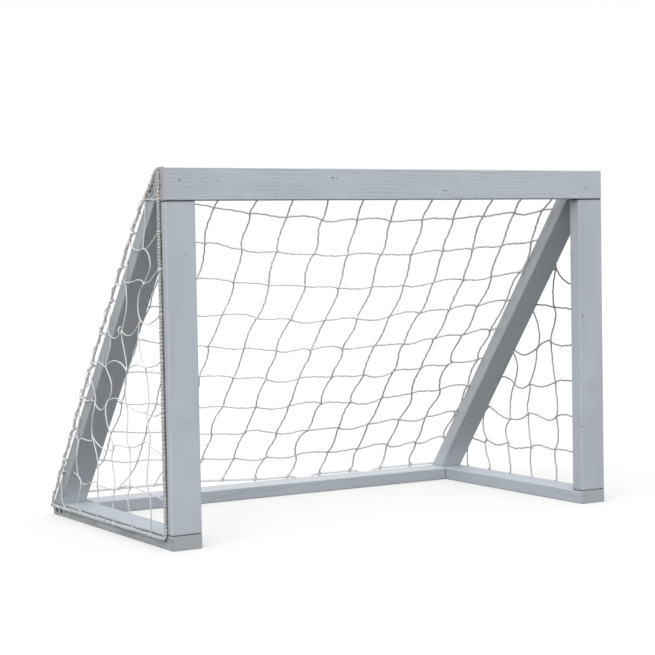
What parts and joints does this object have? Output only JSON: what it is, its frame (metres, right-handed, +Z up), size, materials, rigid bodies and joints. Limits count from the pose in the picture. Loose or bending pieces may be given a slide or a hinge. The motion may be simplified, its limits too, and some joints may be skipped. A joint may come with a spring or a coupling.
{
  "type": "wooden soccer goal",
  "caption": "Small free-standing soccer goal: a painted timber frame with sloping braces and a knotted net on its back and sides.",
  "frame": {"origin": "on the ground, in the middle of the goal's outer box", "axes": "+X to the right as seen by someone facing the goal's mouth, +Y from the mouth to the back, +Z up"},
  "size_m": [1.52, 0.85, 1.0386],
  "materials": {
    "painted_wood": "satin pale blue-grey paint over softwood",
    "net_twine": "knotted off-white twine",
    "border_cord": "twisted off-white cord",
    "zinc_steel": "zinc-plated wire and screws"
  },
  "bodies": {
    "root": {"crossbar": "painted_wood", "post_left": "painted_wood", "post_right": "painted_wood", "side_bar_left": "painted_wood", "side_bar_right": "painted_wood", "rear_bar": "painted_wood", "brace_left": "painted_wood", "brace_right": "painted_wood", "back_net": "net_twine", "side_net_left": "net_twine", "side_net_right": "net_twine", "side_cord_left": "border_cord", "side_cord_right": "border_cord", "upper_cord": "border_cord", "rear_cord": "border_cord", "crossbar_screw_left_1": "zinc_steel", "crossbar_screw_left_2": "zinc_steel", "crossbar_screw_right_1": "zinc_steel", "crossbar_screw_right_2": "zinc_steel", "post_foot_screw_left_1": "zinc_steel", "post_foot_screw_left_2": "zinc_steel", "post_foot_screw_right_1": "zinc_steel", "post_foot_screw_right_2": "zinc_steel", "brace_head_screw_left_1": "zinc_steel", "brace_head_screw_left_2": "zinc_steel", "brace_head_screw_right_1": "zinc_steel", "brace_head_screw_right_2": "zinc_steel", "brace_foot_screw_left_1": "zinc_steel", "brace_foot_screw_left_2": "zinc_steel", "brace_foot_screw_right_1": "zinc_steel", "brace_foot_screw_right_2": "zinc_steel", "rear_bar_screw_left_1": "zinc_steel", "rear_bar_screw_left_2": "zinc_steel", "rear_bar_screw_right_1": "zinc_steel", "rear_bar_screw_right_2": "zinc_steel", "post_staple_left_1": "zinc_steel", "post_staple_left_2": "zinc_steel", "post_staple_left_3": "zinc_steel", "post_staple_right_1": "zinc_steel", "post_staple_right_2": "zinc_steel", "post_staple_right_3": "zinc_steel", "side_bar_staple_left_1": "zinc_steel", "side_bar_staple_left_2": "zinc_steel", "side_bar_staple_left_3": "zinc_steel", "side_bar_staple_right_1": "zinc_steel", "side_bar_staple_right_2": "zinc_steel", "side_bar_staple_right_3": "zinc_steel", "crossbar_end_staple_left": "zinc_steel", "crossbar_end_staple_right": "zinc_steel", "crossbar_staple_1": "zinc_steel", "crossbar_staple_2": "zinc_steel", "crossbar_staple_3": "zinc_steel", "crossbar_staple_4": "zinc_steel", "rear_staple_1": "zinc_steel", "rear_staple_2": "zinc_steel", "rear_staple_3": "zinc_steel", "rear_staple_4": "zinc_steel"}
  },
  "joints": []
}
